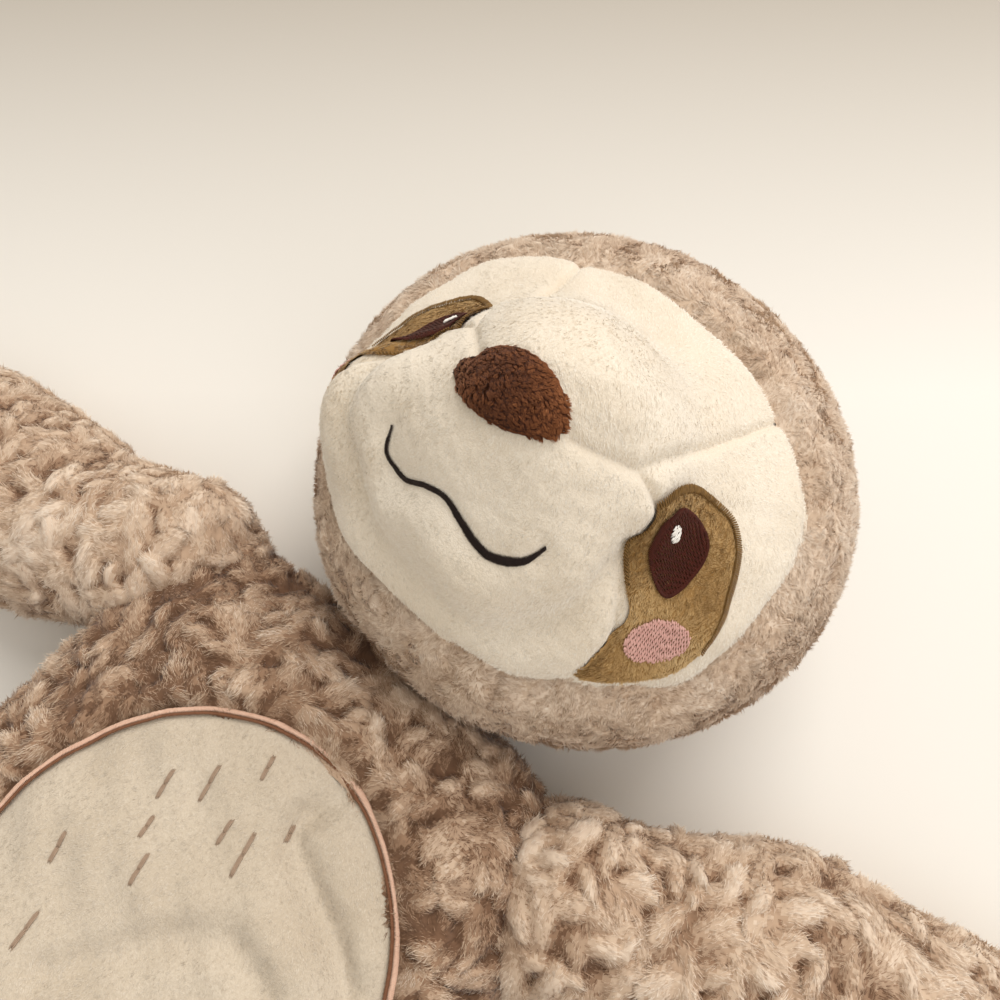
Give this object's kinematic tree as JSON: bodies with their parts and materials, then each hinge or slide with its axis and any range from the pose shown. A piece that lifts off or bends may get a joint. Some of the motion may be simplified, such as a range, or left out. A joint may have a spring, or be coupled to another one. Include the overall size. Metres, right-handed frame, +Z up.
{
  "type": "plush sloth",
  "caption": "Stuffed toy sloth lying on its back, with a cream embroidered face, curly tan fur, an oval belly panel, and soft arms and legs with cloth claws.",
  "frame": {"origin": "on the table under the middle of the whole toy", "axes": "+Z up from the table and out of the toy's front, +Y toward the top of the head, +X toward the sloth's left hand"},
  "size_m": [0.4714, 0.4298, 0.1228],
  "materials": {
    "fur_cloth": "matte tan curly pile cloth",
    "face_plush": "matte cream short plush",
    "belly_plush": "matte cream short plush",
    "nose_plush": "dark brown short pile, soft sheen",
    "patch_plush": "golden brown short pile, soft sheen",
    "patch_thread": "satin stitch, dark gold thread",
    "eye_thread": "satin stitch, dark maroon thread",
    "mouth_thread": "satin stitch, near black thread",
    "highlight_thread": "satin stitch, white thread",
    "blush_thread": "satin stitch, pink thread",
    "belly_thread": "satin stitch, peach thread",
    "neck_thread": "matte tan sewing thread",
    "fill": "matte white polyester fibre",
    "claw_plush": "matte cream short plush"
  },
  "bodies": {
    "torso": {"body_front_fur": "fur_cloth", "body_back_fur": "fur_cloth", "belly_panel": "belly_plush", "belly_edge_stitching": "belly_thread", "body_stuffing": "fill"},
    "neck_wad": {"neck_stuffing": "fill"},
    "neck_ring": {"neck_thread": "neck_thread"},
    "head": {"hood_left": "fur_cloth", "hood_right": "fur_cloth", "forehead_panel": "face_plush", "muzzle_panel": "face_plush", "left_cheek_panel": "face_plush", "right_cheek_panel": "face_plush", "nose": "nose_plush", "mouth_stitching": "mouth_thread", "head_stuffing": "fill", "left_eye_patch": "patch_plush", "left_patch_stitching": "patch_thread", "left_eye": "eye_thread", "left_eye_highlight": "highlight_thread", "left_blush": "blush_thread", "right_eye_patch": "patch_plush", "right_patch_stitching": "patch_thread", "right_eye": "eye_thread", "right_eye_highlight": "highlight_thread", "right_blush": "blush_thread"},
    "left_shoulder": {"left_shoulder_stuffing": "fill"},
    "left_arm": {"left_arm_front_fur": "fur_cloth", "left_arm_back_fur": "fur_cloth", "left_arm_stuffing": "fill", "left_hand_claws": "claw_plush"},
    "right_shoulder": {"right_shoulder_stuffing": "fill"},
    "right_arm": {"right_arm_front_fur": "fur_cloth", "right_arm_back_fur": "fur_cloth", "right_arm_stuffing": "fill", "right_hand_claws": "claw_plush"},
    "left_hip": {"left_hip_stuffing": "fill"},
    "left_leg": {"left_leg_front_fur": "fur_cloth", "left_leg_back_fur": "fur_cloth", "left_leg_stuffing": "fill", "left_foot_claws": "claw_plush"},
    "right_hip": {"right_hip_stuffing": "fill"},
    "right_leg": {"right_leg_front_fur": "fur_cloth", "right_leg_back_fur": "fur_cloth", "right_leg_stuffing": "fill", "right_foot_claws": "claw_plush"}
  },
  "joints": [
    {"name": "neck_nod", "type": "hinge", "parent": "torso", "child": "neck_wad", "pos_m": [0.00102, 0.08442, 0.025], "axis": [1, 0, 0], "range_deg": [-30, 8]},
    {"name": "neck_tilt", "type": "hinge", "parent": "neck_wad", "child": "neck_ring", "pos_m": [0.00102, 0.08442, 0.025], "axis": [0, 0, 1], "range_deg": [-10, 20]},
    {"name": "neck_turn", "type": "hinge", "parent": "neck_ring", "child": "head", "pos_m": [0.00102, 0.08442, 0.025], "axis": [0.1132, 0.9936, 0], "range_deg": [-15, 15]},
    {"name": "left_shoulder_swing", "type": "hinge", "parent": "torso", "child": "left_shoulder", "pos_m": [0.07202, 0.05942, 0.025], "axis": [0, 0, 1], "range_deg": [-45, 25]},
    {"name": "left_shoulder_lift", "type": "hinge", "parent": "left_shoulder", "child": "left_arm", "pos_m": [0.07202, 0.05942, 0.025], "axis": [0.309, -0.9511, 0], "range_deg": [-30, 35]},
    {"name": "right_shoulder_swing", "type": "hinge", "parent": "torso", "child": "right_shoulder", "pos_m": [-0.06998, 0.05942, 0.025], "axis": [0, 0, 1], "range_deg": [-55, 12]},
    {"name": "right_shoulder_lift", "type": "hinge", "parent": "right_shoulder", "child": "right_arm", "pos_m": [-0.06998, 0.05942, 0.025], "axis": [-0.2588, 0.9659, 0], "range_deg": [-30, 35]},
    {"name": "left_hip_splay", "type": "hinge", "parent": "torso", "child": "left_hip", "pos_m": [0.03902, -0.09358, 0.025], "axis": [0, 0, 1], "range_deg": [-10, 20]},
    {"name": "left_hip_lift", "type": "hinge", "parent": "left_hip", "child": "left_leg", "pos_m": [0.03902, -0.09358, 0.025], "axis": [-0.9781, -0.2079, 0], "range_deg": [-20, 45]},
    {"name": "right_hip_splay", "type": "hinge", "parent": "torso", "child": "right_hip", "pos_m": [-0.03698, -0.09358, 0.025], "axis": [0, 0, 1], "range_deg": [-20, 10]},
    {"name": "right_hip_lift", "type": "hinge", "parent": "right_hip", "child": "right_leg", "pos_m": [-0.03698, -0.09358, 0.025], "axis": [-0.9781, 0.2079, 0], "range_deg": [-20, 45]}
  ]
}
